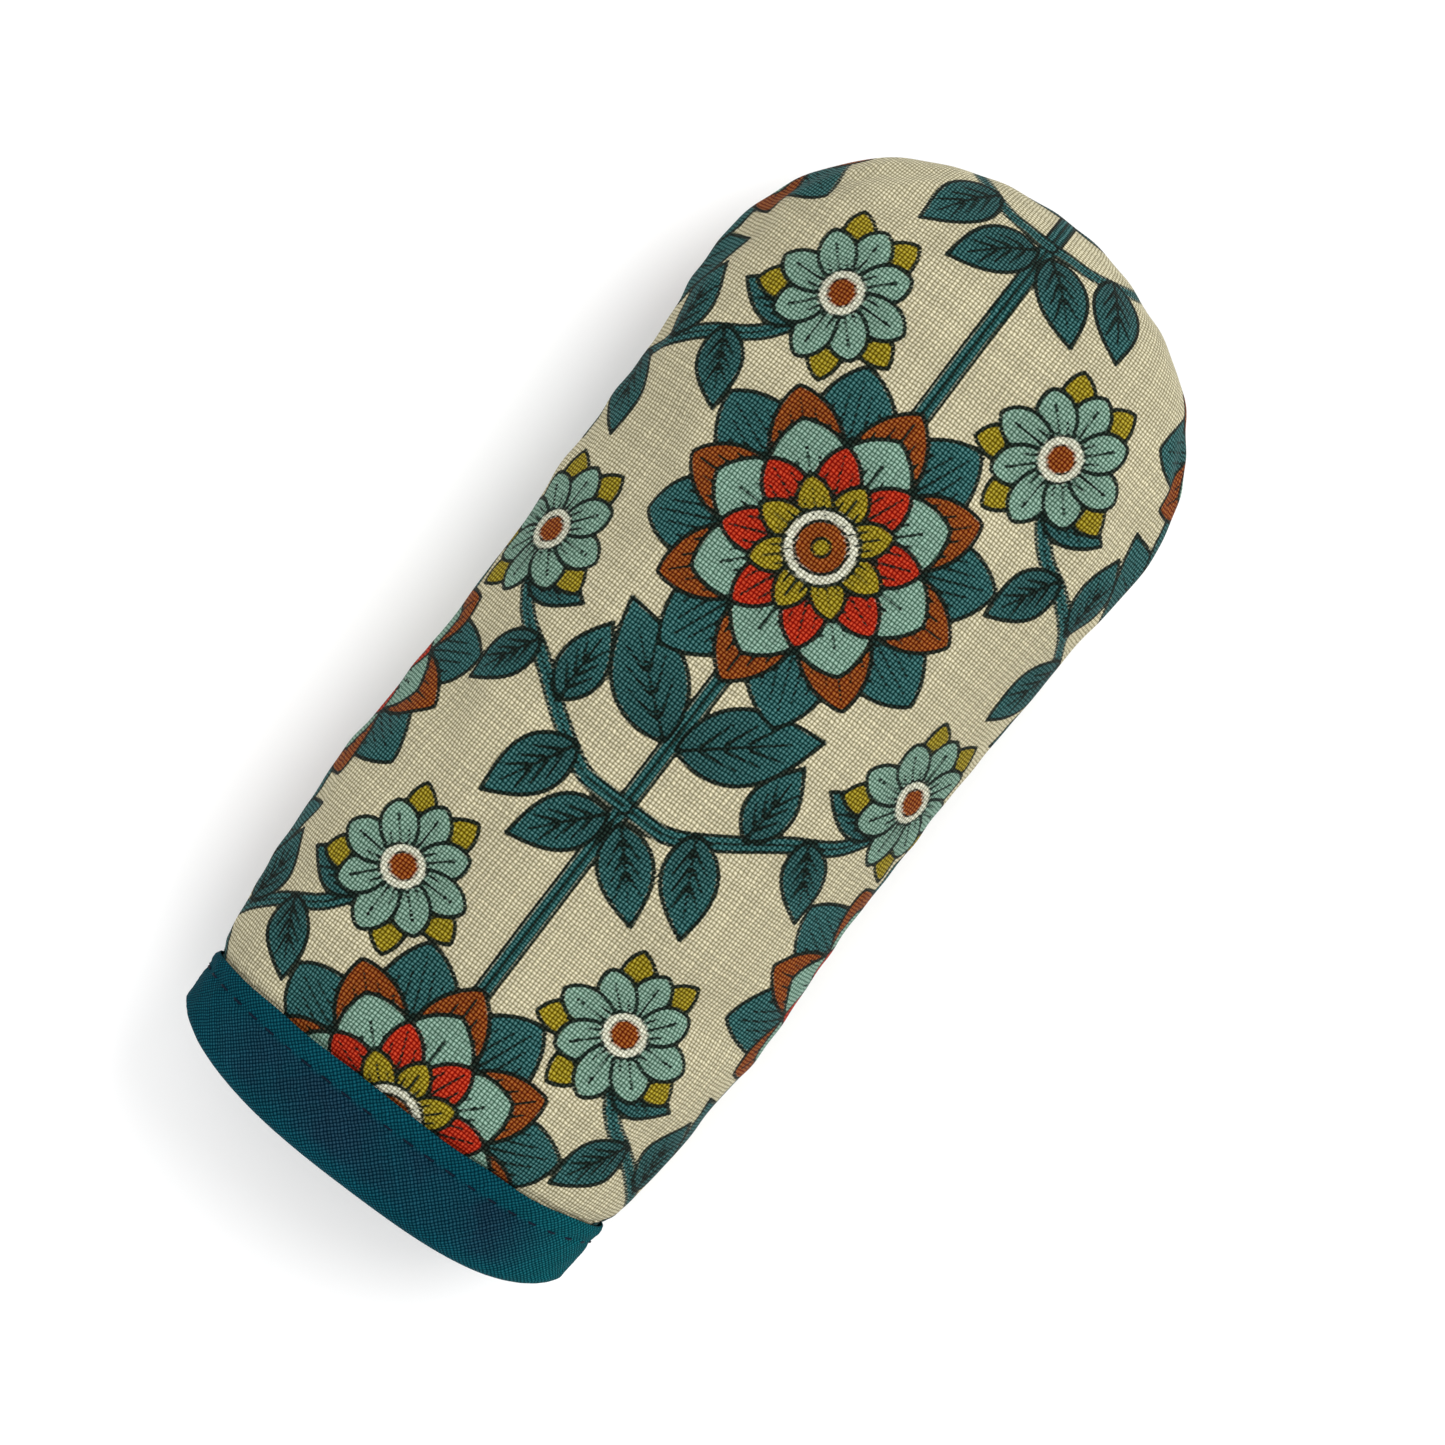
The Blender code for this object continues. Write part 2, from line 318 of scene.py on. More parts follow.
def simulate_puckers():
    """Swells a slightly loose cloth sleeve off the padding; returns each side's moves, as a grid.

    The cuff and the part lying on the table are held, and the side seam is held tight, so the loose
    cloth buckles into shallow waves that run in from the seam.
    """
    panels = {side: Panel(side, SIM_COLUMNS, SIM_ROWS) for side in SIDES}
    start = [settle(sunk(side, p.angle, p.y, 0.0 * p.y)).reshape(-1, 3) for side, p in panels.items()]
    columns = SIM_COLUMNS + 1
    index = np.arange(SIM_ROWS * columns).reshape(SIM_ROWS, columns)
    back_index = index + index.size
    back_index[:, 0], back_index[:, -1] = index[:, 0], index[:, -1]
    tip = 2 * index.size
    points = np.vstack([*start, [[0.0, HALF_LENGTH, SEAM_HEIGHT]]])
    faces = []
    for numbers, order in ((index, 1), (back_index, -1)):
        quads = np.stack([numbers[:-1, :-1], numbers[:-1, 1:], numbers[1:, 1:], numbers[1:, :-1]], -1)
        faces += [tuple(quad[::order]) for quad in quads.reshape(-1, 4).tolist()]
        top = numbers[-1].tolist()
        faces += [(a, b, tip)[::order] for a, b in zip(top, top[1:])]
    used = sorted({n for face in faces for n in face})
    renumber = {n: i for i, n in enumerate(used)}
    faces = [tuple(renumber[n] for n in face) for face in faces]
    mesh = bpy.data.meshes.new("sleeve_sim")
    mesh.from_pydata(points[used].tolist(), [], faces)
    sleeve = added("sleeve_sim", mesh)

    held = sleeve.vertex_groups.new(name="held")
    fixed = points[:, 2] < RESTING_BELOW
    fixed |= points[:, 1] < -HALF_LENGTH + BINDING_WIDTH + RIM_BOW
    fixed[index[:, [0, -1]]] = True
    fixed[tip] = True
    for n in used:
        held.add([renumber[n]], float(fixed[n]), "REPLACE")
    cloth = sleeve.modifiers.new("cloth", "CLOTH")
    settings = cloth.settings
    settings.vertex_group_mass = "held"
    settings.quality = 6
    settings.mass = 0.15
    settings.tension_stiffness = settings.compression_stiffness = 25.0
    settings.shear_stiffness = 12.0
    settings.bending_stiffness = 0.4
    settings.shrink_min = -SLACK
    settings.use_pressure = True
    settings.uniform_pressure_force = 1.5
    settings.effector_weights.gravity = 0.0
    cloth.collision_settings.use_collision = False
    scene = bpy.context.scene
    for number in range(1, SIM_FRAMES + 1):
        scene.frame_set(number)
    settled = sleeve.evaluated_get(bpy.context.evaluated_depsgraph_get()).to_mesh()
    places = np.empty(len(settled.vertices) * 3)
    settled.vertices.foreach_get("co", places)
    moves = np.zeros_like(points)
    moves[used] = places.reshape(-1, 3) - points[used]
    bpy.data.objects.remove(sleeve, do_unlink=True)
    scene.frame_set(1)
    by_side = {}
    for side, numbers in (("front", index), ("back", back_index)):
        panel, move = panels[side], evened(moves[numbers])
        _, normals = surface(side, panel.angle, panel.y)
        lift = (move * normals).sum(-1, keepdims=True)
        slide = move - lift * normals
        most = np.where(lift > 0, MOST_LIFT, MOST_DIP)
        calm = 1.0 - smoothstep(*CALM_HEAD, panel.along)[:, None, None]
        by_side[side] = (most * np.tanh(lift / most) * normals + SLIDE_SHARE * slide) * calm
    return by_side


def resample(grid, positions):
    """Catmull-Rom values of a grid, along its first axis, at fractional positions."""
    i = np.clip(np.floor(positions).astype(int), 0, len(grid) - 2)
    t = (positions - i).reshape((-1,) + (1,) * (grid.ndim - 1))
    p = [grid[np.clip(i + k, 0, len(grid) - 1)] for k in (-1, 0, 1, 2)]
    return 0.5 * (
        2 * p[1]
        + (p[2] - p[0]) * t
        + (2 * p[0] - 5 * p[1] + 4 * p[2] - p[3]) * t**2
        + (3 * p[1] - p[0] - 3 * p[2] + p[3]) * t**3
    )


def moves_on(panel, moves):
    """The simulated moves, carried over to a finer panel's grid."""
    if moves is None:
        return np.zeros(panel.y.shape + (3,))
    coarse = np.concatenate([moves[panel.side], np.zeros((1,) + moves[panel.side].shape[1:])])
    rows = resample(coarse, panel.along * SIM_ROWS)
    columns = resample(rows.swapaxes(0, 1), (panel.across + 1) / 2 * SIM_COLUMNS)
    return columns.swapaxes(0, 1)


# -------- the printed pattern
# Drawn in cloth coordinates in millimetres: u across the panel, v along it towards the head.

REPEAT = 92.8  # along a column of big flowers
COLUMN = 50.5  # between columns, which are half a repeat out of step
FLOWER_V = {"front": 23.9, "back": 2.0}
FLOWER_U = {"front": 0.0, "back": 14.0}
PRINT_SCALE = 0.965
OUTLINE = 0.28  # half-width of the dark line round each shape
VEIN = 0.22
DOT = 0.30

# Dye colours, linear
CREAM = (0.360, 0.328, 0.213)
AQUA = (0.124, 0.216, 0.163)
TEAL = (0.0120, 0.064, 0.062)
RUST = (0.150, 0.031, 0.0010)
RED = (0.280, 0.012, 0.0010)
MUSTARD = (0.182, 0.136, 0.0020)
CHALK = (0.40, 0.40, 0.31)


def turned(points, angle, origin=(0.0, 0.0), mirror=1):
    """Points turned anticlockwise, mirrored across the column if asked, and moved."""
    c, s = math.cos(angle), math.sin(angle)
    x, y = np.asarray(points, float).T
    return np.stack([mirror * (origin[0] + x * c - y * s), origin[1] + x * s + y * c], -1)


def petal_outline(length, width, belly=0.55, tip=0.75, samples=30):
    """A petal from the origin along +x: belly is where it is widest, and a low tip is blunt."""
    t = (1 - np.cos(np.linspace(0, math.pi, samples))) / 2
    rise = tip * belly / (1 - belly)
    half = t**rise * (1 - t) ** tip
    half *= width / 2 / half.max()
    upper = np.stack([t * length, half], -1)
    return np.vstack([upper, upper[-2:0:-1] * (1, -1)])


class Print:
    """The cloth's dye, point by point: a fill colour, and how far each point is from the nearest ink."""

    def __init__(self, u, v):
        self.points = np.stack([u.ravel(), v.ravel()], -1)
        self.colour = np.tile(np.array(CREAM), (len(self.points), 1))
        self.ink = np.full(len(self.points), 2.0)

    def near(self, low, high, reach):
        inside = (self.points > low - reach) & (self.points < high + reach)
        return np.nonzero(inside.all(axis=1))[0]

    @staticmethod
    def distances(points, line, closed=False):
        """Distance of each point to a line of points, and where along it, from 0 to 1."""
        starts = line if closed else line[:-1]
        runs = (np.roll(line, -1, axis=0) if closed else line[1:]) - starts
        offsets = points[:, None, :] - starts
        t = np.clip((offsets * runs).sum(-1) / np.maximum((runs * runs).sum(-1), 1e-12), 0, 1)
        far = np.hypot(*np.moveaxis(offsets - t[..., None] * runs, -1, 0))
        nearest = far.argmin(axis=1)
        rows = np.arange(len(points))
        return far[rows, nearest], (nearest + t[rows, nearest]) / len(starts)

    @staticmethod
    def inside(points, outline):
        x, y = points.T[:, :, None]
        x0, y0 = outline.T
        x1, y1 = np.roll(outline, -1, axis=0).T
        slope = (x1 - x0) / np.where(y1 == y0, 1e-12, y1 - y0)
        crossed = ((y0 > y) != (y1 > y)) & (x < slope * (y - y0) + x0)
        return crossed.sum(axis=1) % 2 == 1

    def shape(self, outline, fill, lines=(), dots=(), shade=0.0, line_width=OUTLINE):
        """Covers what is under a closed outline with a fill, its dark outline, and lines and dots."""
        chosen = self.near(outline.min(axis=0), outline.max(axis=0), 2.2)
        if not len(chosen):
            return
        points = self.points[chosen]
        distance, _ = self.distances(points, outline, closed=True)
        within = self.inside(points, outline)
        ink = distance - line_width
        ink = np.where(within, ink, np.minimum(self.ink[chosen], ink))
        if within.any():
            covered = points[within]
            colour = np.tile(np.array(fill), (len(covered), 1))
            if shade:
                base = outline[0]
                size = np.hypot(*(outline - base).T).max()
                colour *= (1 - shade * (1 - np.hypot(*(covered - base).T) / size))[:, None]
            self.colour[chosen[within]] = colour
            inner = ink[within]
            for line in lines:
                far, along = self.distances(covered, line)
                inner = np.minimum(inner, far - VEIN * (1.15 - 0.45 * along))
            for dot in dots:
                inner = np.minimum(inner, np.hypot(*(covered - dot).T) - DOT)
            ink[within] = inner
        self.ink[chosen] = ink

    def petal(self, at, angle, length, width, fill, mirror=1, veins=3, dots=0, reach=0.66, **form):
        """A petal with a middle vein and side veins that fan out from its base, up to a share of it."""
        outline = turned(petal_outline(length, width, **form), angle, at, mirror)
        lines = []
        for k in range(-veins, veins + 1):
            spread = k / (veins + 0.9)
            x = np.linspace(0.1, reach - 0.26 * abs(spread), 8) * length
            y = spread * width * 0.5 * np.sin(np.clip(x / length, 0, 1) * 2.3) ** 0.9
            lines.append(turned(np.stack([x, y], -1), angle, at, mirror))
        spots = [((0.70 + 0.07 * i) * length, 0.0) for i in range(dots)]
        spots = turned(spots, angle, at, mirror) if spots else ()
        self.shape(outline, fill, lines, spots, shade=0.28)

    def leaf(self, at, angle, length, width, mirror=1):
        """A pointed leaf with a midrib and slanting side ribs."""
        outline = turned(petal_outline(length, width, belly=0.42, tip=1.12), angle, at, mirror)
        lines = [turned([(0.0, 0.0), (0.78 * length, 0.0)], angle, at, mirror)]
        for t in (0.14, 0.30, 0.46):
            for side in (-1, 1):
                start = ((t + 0.03) * length, side * 0.045 * width)
                rib = [start, ((t + 0.25) * length, side * (0.34 - 0.24 * t) * width)]
                lines.append(turned(rib, angle, at, mirror))
        self.shape(outline, TEAL, lines, shade=0.36)

    def stem(self, line, width=1.15):
        """A stem along a smooth line, with a dark line down each side."""
        line = np.asarray(line, float)
        chosen = self.near(line.min(axis=0), line.max(axis=0), width + 2)
        if not len(chosen):
            return
        far, _ = self.distances(self.points[chosen], line)
        covered = far < width
        self.colour[chosen[covered]] = TEAL
        edge = far - width
        grain = far - 0.16  # a fine line down the middle
        under = np.minimum(self.ink[chosen], edge - OUTLINE * 0.8)
        self.ink[chosen] = np.where(covered, np.minimum(-edge - OUTLINE * 0.8, grain), under)

    def disc(self, at, radius, fill, ring=0.0, dots=0, line=0.22):
        """A round eye, with a chalky ring round it and dots on the ring if asked."""
        turn = np.linspace(0, 2 * math.pi, 33)[:-1]
        circle = np.stack([np.cos(turn), np.sin(turn)], -1)
        if ring:
            self.shape(np.add(at, circle * (radius + ring)), CHALK, line_width=line)
            for a in np.linspace(0, 2 * math.pi, dots + 1)[:-1]:
                spot = np.add(at, (radius + ring / 2) * np.array([math.cos(a), math.sin(a)]))
                self.speck(spot, 0.17)
        self.shape(np.add(at, circle * radius), fill, line_width=line)

    def speck(self, at, radius):
        chosen = self.near(np.array(at), np.array(at), 1.0)
        far = np.hypot(*(self.points[chosen] - at).T)
        self.ink[chosen] = np.minimum(self.ink[chosen], far - radius)


def curve_through(points):
    """A smooth line through a few points."""
    last = len(points) - 1
    return resample(np.array(points, float), np.linspace(0, last, 14 * last))


def small_flower(cloth, at, mirror):
    """An aqua daisy with a ringed rust eye and mustard sepals."""
    for k in (0, 2, 3, 5, 7):
        angle = math.radians(90 + 45 * (k + 0.5))
        cloth.petal(at, angle, 11.8, 4.8, MUSTARD, mirror, veins=1, belly=0.66, tip=0.9)
    for k in range(8):
        angle = math.radians(90 + 45 * k)
        length = 9.9 - 0.7 * (k % 2)
        cloth.petal(at, angle, length, 5.3, AQUA, mirror, veins=1, dots=2, belly=0.62, tip=0.7)
    cloth.disc((mirror * at[0], at[1]), 1.9, RUST, ring=1.2, line=0.14)


def blossom(cloth, at):
    """A round, many-petalled bloom seen from above: five rings of petals about a ringed eye."""
    rings = (  # (half a petal's turn, length, width, dye, side veins, dots, reach of the veins)
        (1, 23.6, 11.6, TEAL, 3, 0, 0.92),
        (0, 21.0, 9.6, RUST, 2, 0, 0.93),
        (0, 16.6, 10.6, AQUA, 3, 2, 0.76),
        (1, 13.2, 6.0, RED, 1, 0, 0.90),
        (0, 9.4, 4.6, MUSTARD, 1, 0, 0.80),
    )
    for turn, length, width, dye, veins, dots, reach in rings:
        for k in range(8):
            angle = math.radians(90 + 45 * (k + turn / 2))
            cloth.petal(at, angle, length, width, dye, 1, veins, dots, reach, belly=0.6, tip=0.8)
    cloth.disc(at, 3.4, RUST, ring=1.5, dots=18)
    cloth.disc(at, 1.2, MUSTARD)


def sprig(cloth, at):
    """The stem below a blossom: pairs of leaves, and two curling side shoots."""
    joint = (at[0], at[1] - 41.0)
    cloth.stem([(at[0], at[1] - 6), (at[0], at[1] - 74)])
    route = ((0.0, 0.0), (6.5, 0.2), (13.0, 3.6), (20.0, 8.4), (27.0, 12.4), (32.4, 19.4))
    for mirror in (1, -1):
        cloth.stem(curve_through([(joint[0] + mirror * x, joint[1] + y) for x, y in route]), 1.0)
        heart = mirror * at[0]
        for x, y, turn, length, width in (
            (1.0, -31.5, 40, 19.0, 9.8),
            (1.0, -43.0, -48, 13.4, 7.2),
            (9.5, -38.4, -62, 13.8, 7.4),
            (15.0, -35.4, 88, 12.0, 6.6),
            (22.0, -30.6, -58, 11.6, 6.4),
            (30.6, -24.6, 176, 10.4, 6.0),
        ):
            cloth.leaf((heart + x, at[1] + y), math.radians(turn), length, width, mirror)


def printed(u, v, side):
    """Fill colour and ink distance at cloth points given in metres."""
    cloth = Print((u * 1000 - FLOWER_U[side]) / PRINT_SCALE, v * 1000 / PRINT_SCALE)
    hearts = [
        (column * COLUMN, FLOWER_V[side] + (row + (column % 2) / 2) * REPEAT)
        for column in (-2, -1, 0, 1, 2)
        for row in (-2, -1, 0, 1)
    ]
    for heart in hearts:
        sprig(cloth, heart)
    for x, y in hearts:
        blossom(cloth, (x, y))
        for mirror in (1, -1):
            small_flower(cloth, (mirror * x + 17.8, y + 27.6), mirror)
    return cloth.colour, cloth.ink


# -------- materials

EYE = 2.2  # the power between a linear colour and even steps to the eye
MIDDLE_HEIGHT = 0.62  # of the weave, where the dye shows as it is


class Shader:
    """A material's node tree, with short names for the nodes used here."""

    def __init__(self, name, roughness=0.85, sheen=0.0, gloss=0.06):
        self.material = bpy.data.materials.new(name)
        self.material.use_nodes = True
        self.tree = self.material.node_tree
        self.principled = self.tree.nodes["Principled BSDF"]
        self.set("Roughness", roughness)
        self.set("Specular IOR Level", gloss)
        self.set("Sheen Weight", sheen)
        self.set("Sheen Roughness", 0.45)

    def put(self, socket, value):
        if isinstance(value, bpy.types.NodeSocket):
            self.tree.links.new(value, socket)
        else:
            socket.default_value = (*value, 1.0) if isinstance(value, tuple) else value

    def set(self, name, value):
        self.put(self.principled.inputs[name], value)

    def node(self, kind, *values, **settings):
        """A new node, with values or links for its first inputs; gives its outputs."""
        node = self.tree.nodes.new("ShaderNode" + kind)
        for name, setting in settings.items():
            setattr(node, name, setting)
        for socket, value in zip(node.inputs, values):
            self.put(socket, value)
        return node.outputs

    def math(self, operation, a, b=0.0, c=0.0):
        return self.node("Math", a, b, c, operation=operation)[0]

    def times(self, a, b):
        return self.math("MULTIPLY", a, b)

    def mix(self, factor, a, b, blend="MIX"):
        node = self.tree.nodes.new("ShaderNodeMix")
        node.data_type = "RGBA"
        node.blend_type = blend
        node.clamp_result = True
        for number, value in ((0, factor), (6, a), (7, b)):  # the colour mode's sockets
            self.put(node.inputs[number], value)
        return node.outputs[2]

    def power(self, colour, exponent):
        return self.node("Gamma", colour, exponent)[0]

    def brightness(self, colour):
        return self.node("RGBToBW", colour)[0]

    def ramp(self, value, low, high, out_low=0.0, out_high=1.0, smooth=True):
        kind = "SMOOTHSTEP" if smooth else "LINEAR"
        return self.node("MapRange", value, low, high, out_low, out_high, interpolation_type=kind)[0]

    def attribute(self, name, output="Fac"):
        return self.node("Attribute", attribute_name=name)[output]

    def cloth_place(self):
        """The piece's cloth coordinates, as three values."""
        return self.node("SeparateXYZ", self.attribute("cloth", "Vector"))

    def join(self, x, y, z=0.0):
        return self.node("CombineXYZ", x, y, z)[0]

    def noise(self, vector, scale, detail=2.0):
        return self.node("TexNoise", vector, 0.0, scale, detail)[0]

    def random(self, value):
        node = self.tree.nodes.new("ShaderNodeTexWhiteNoise")
        node.noise_dimensions = "1D"
        self.put(node.inputs["W"], value)
        return node.outputs[0]

    def place(self):
        return self.node("TexCoord")["Object"]

    def bump(self, height, strength, distance):
        node = self.tree.nodes.new("ShaderNodeBump")
        for name, value in (("Strength", strength), ("Distance", distance), ("Height", height)):
            self.put(node.inputs[name], value)
        self.set("Normal", node.outputs[0])

    def weave(self, x, y, pitch):
        """A plain weave on cloth coordinates: its height, and a tone that changes thread by thread."""
        uneven = self.noise(self.join(x, y), 700.0, 2.0)
        x = self.math("MULTIPLY_ADD", x, 1 / pitch, self.times(uneven, 0.8))
        y = self.math("MULTIPLY_ADD", y, 1 / pitch, self.times(uneven, -0.8))
        whole_x, whole_y = self.math("FLOOR", x), self.math("FLOOR", y)
        arch_x, arch_y = (
            self.math("SINE", self.times(self.math("FRACT", value), math.pi)) for value in (x, y)
        )
        over = self.math("MODULO", self.math("ABSOLUTE", self.math("ADD", whole_x, whole_y)), 2.0)
        heights, tones = [], []
        for across, along, thread in ((arch_x, arch_y, whole_x), (arch_y, arch_x, whole_y)):
            round_top = self.math("POWER", across, 0.6)
            heights.append(self.times(round_top, self.math("MULTIPLY_ADD", along, 0.5, 0.5)))
            tones.append(self.random(thread))
        height = self.ramp(over, 0.0, 1.0, heights[0], heights[1], smooth=False)
        tone = self.ramp(over, 0.0, 1.0, tones[0], tones[1], smooth=False)
        return height, tone

    def finish_cloth(self, colour, weave, pitch, depth, bump):
        """Lays a weave over a colour: painted shade in the gaps between threads, pale thread tops and
        slow uneven fading.

        The tops lighten all three channels by one amount, in even steps to the eye: partly bare fibre,
        partly a painted highlight, a glint off the fibres.
        """
        height, tone = weave
        seen = self.power(colour, 1 / EYE)
        strength = self.ramp(self.brightness(seen), 0.04, 0.30, 0.40, 1.0, smooth=False)
        # painted light: by the weave's height, times depth, the gaps between threads get darker (painted
        # shade) and the thread tops lighter (partly a painted highlight)
        lift = self.math("MULTIPLY_ADD", height, depth, -MIDDLE_HEIGHT * depth)
        lift = self.times(lift, strength)
        woven = self.power(self.mix(1.0, seen, self.join(lift, lift, lift), "ADD"), EYE)
        cloudy = self.noise(self.place(), 55.0, 3.0)
        light = self.ramp(tone, 0.0, 1.0, 0.86, 1.14, smooth=False)
        light = self.times(light, self.ramp(cloudy, 0.3, 0.7, 0.95, 1.04))
        faded = self.mix(1.0, woven, self.join(light, light, light), "MULTIPLY")
        self.set("Base Color", faded)
        self.set("Roughness", self.ramp(height, 0.0, 1.0, 0.95, 0.72, smooth=False))
        self.bump(height, bump, pitch * 0.35)
        return self.material


INK = (0.0015, 0.006, 0.0035)
INK_EDGE = 0.17  # millimetres, over which a printed line fades into the dye
TEAL_CLOTH = (0.0001, 0.036, 0.053)
PALE_TEAL_CLOTH = (0.0003, 0.056, 0.068)
# painted shade: the navy laid over the middle of the binding's front
NAVY_SHADE = (0.0032, 0.0205, 0.0365)
LINING_CLOTH = (0.42, 0.395, 0.31)
NAVY_THREAD = (0.0008, 0.006, 0.018)
CREAM_THREAD = (0.46, 0.42, 0.29)


def printed_cotton():
    """Printed dye with dark ink lines that bleed a little into the threads."""
    shader = Shader("printed_cotton", sheen=0.02)
    x, y, _ = shader.cloth_place()
    weave = shader.weave(x, y, THREAD_PITCH)
    dye = shader.attribute("dye", "Color")
    bleed = shader.noise(shader.place(), 2600.0, 1.0)
    ink = shader.math("MULTIPLY_ADD", bleed, 0.16, shader.attribute("ink"))
    colour = shader.mix(shader.ramp(ink, INK_EDGE, 0.0, 0.0, 0.98), dye, INK)
    return shader.finish_cloth(colour, weave, THREAD_PITCH, 0.46, 0.6)


def binding_cotton(girth):
    """Bias-cut teal cloth, its threads at 45 degrees to the strip, with a painted navy shade over the
    front.

    It is paler on both sides of the start of its girth, at the +X side seam.
    """
    shader = Shader("binding_cotton", gloss=0.02)
    at, from_rim, along = shader.cloth_place()
    diagonal_x = shader.times(shader.math("ADD", at, along), math.sqrt(0.5))
    diagonal_y = shader.times(shader.math("SUBTRACT", at, along), math.sqrt(0.5))
    weave = shader.weave(diagonal_x, diagonal_y, BINDING_PITCH)
    # painted shade: navy over the middle of the front, for how the light falls on the weave
    navy = shader.ramp(shader.noise(shader.place(), 120.0, 4.0), 0.30, 0.60, 0.45, 1.0)
    for place, none, full in (  # where the painted navy shade fades in: off both edges, and off both ends
        (from_rim, 0.0010, 0.0035),
        (from_rim, 0.0100, 0.0090),
        (at, 0.006, 0.020),
        (at, 0.068, 0.050),
    ):
        navy = shader.times(navy, shader.ramp(place, none, full))
    # paler teal towards the +X side seam, where the girth starts and ends
    from_girth_ends = shader.math("MINIMUM", at, shader.math("SUBTRACT", girth, at))
    teal = shader.mix(shader.ramp(from_girth_ends, 0.004, 0.024), PALE_TEAL_CLOTH, TEAL_CLOTH)
    colour = shader.mix(navy, teal, NAVY_SHADE)
    return shader.finish_cloth(colour, weave, BINDING_PITCH, 0.34, 0.5)


def lining_cotton():
    shader = Shader("lining_cotton", sheen=0.05)
    x, y, _ = shader.cloth_place()
    weave = shader.weave(x, y, LINING_PITCH)
    return shader.finish_cloth(LINING_CLOTH, weave, LINING_PITCH, 0.22, 0.4)


def fibrous(name, colour, dark, metallic=0.0, roughness=0.95):
    """A matted fibre layer, such as wadding or needled felt."""
    shader = Shader(name, roughness)
    shader.set("Metallic", metallic)
    fibres = shader.noise(shader.place(), 1400.0, 6.0)
    clumps = shader.noise(shader.place(), 240.0, 3.0)
    value = shader.math("MULTIPLY_ADD", clumps, 0.6, shader.times(fibres, 0.4))
    shader.set("Base Color", shader.mix(shader.ramp(value, 0.3, 0.7), dark, colour))
    shader.bump(value, 0.6, 0.0004)
    return shader.material


def thread_material(name, colour):
    """Twisted sewing thread: fine slanting plies with painted shade between them, a little glossy."""
    shader = Shader(name, 0.6, gloss=0.10)
    x, y, _ = shader.cloth_place()
    ply = shader.math("SINE", shader.math("MULTIPLY_ADD", x, 24000.0, shader.times(y, 9000.0)))
    # painted light: the colour darkens in the grooves between plies (painted shade) and lightens on
    # their crowns (painted highlight), with an uneven tone along it
    light = shader.ramp(ply, -1.0, 1.0, 0.55, 1.25, smooth=False)
    uneven = shader.ramp(shader.noise(shader.place(), 900.0), 0.3, 0.7, 0.85, 1.1)
    light = shader.times(light, uneven)
    shader.set("Base Color", shader.mix(1.0, colour, shader.join(light, light, light), "MULTIPLY"))
    shader.bump(ply, 0.4, 0.00003)
    return shader.material


# -------- pieces

SHELL_COLUMNS, SHELL_ROWS = ((214, 400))
FLANGE_DEPTHS = (0.0009, 0.0018, 0.0029)  # the seam allowance, turned in between the two shells
SEAM_GAP = 0.00012
GROOVE, GROOVE_REACH = 0.0005, 0.0011  # where the seam draws the cloth in
GATHERS, GATHER_SIZE, GATHER_REACH = 0.00024, 0.0065, 0.007  # fine folds beside the seam
LUMPS, LUMP_SIZE = 0.00018, 0.021
BACK_INSET, INSET_REACH = 0.0004, 0.009  # the back bears on the table, so it stands out less
BAND_REACH = 0.012  # how far past the binding its grip is felt
BAND_SHOULDER, PRESSED_DEPTH = 0.0004, 0.0003  # the shell's rise past the binding, and depth under it
SEAM_HOLD, HOLD_REACH = 0.45, 0.010  # the share of a pucker that the seam beside it stops


def flanged(grid, left=0.0, right=0.0):
    """A grid with the seam allowances as more columns, changed by that share of their depths."""
    steps = np.array(FLANGE_DEPTHS)
    return np.hstack([grid[:, :1] + left * steps[::-1], grid, grid[:, -1:] + right * steps])


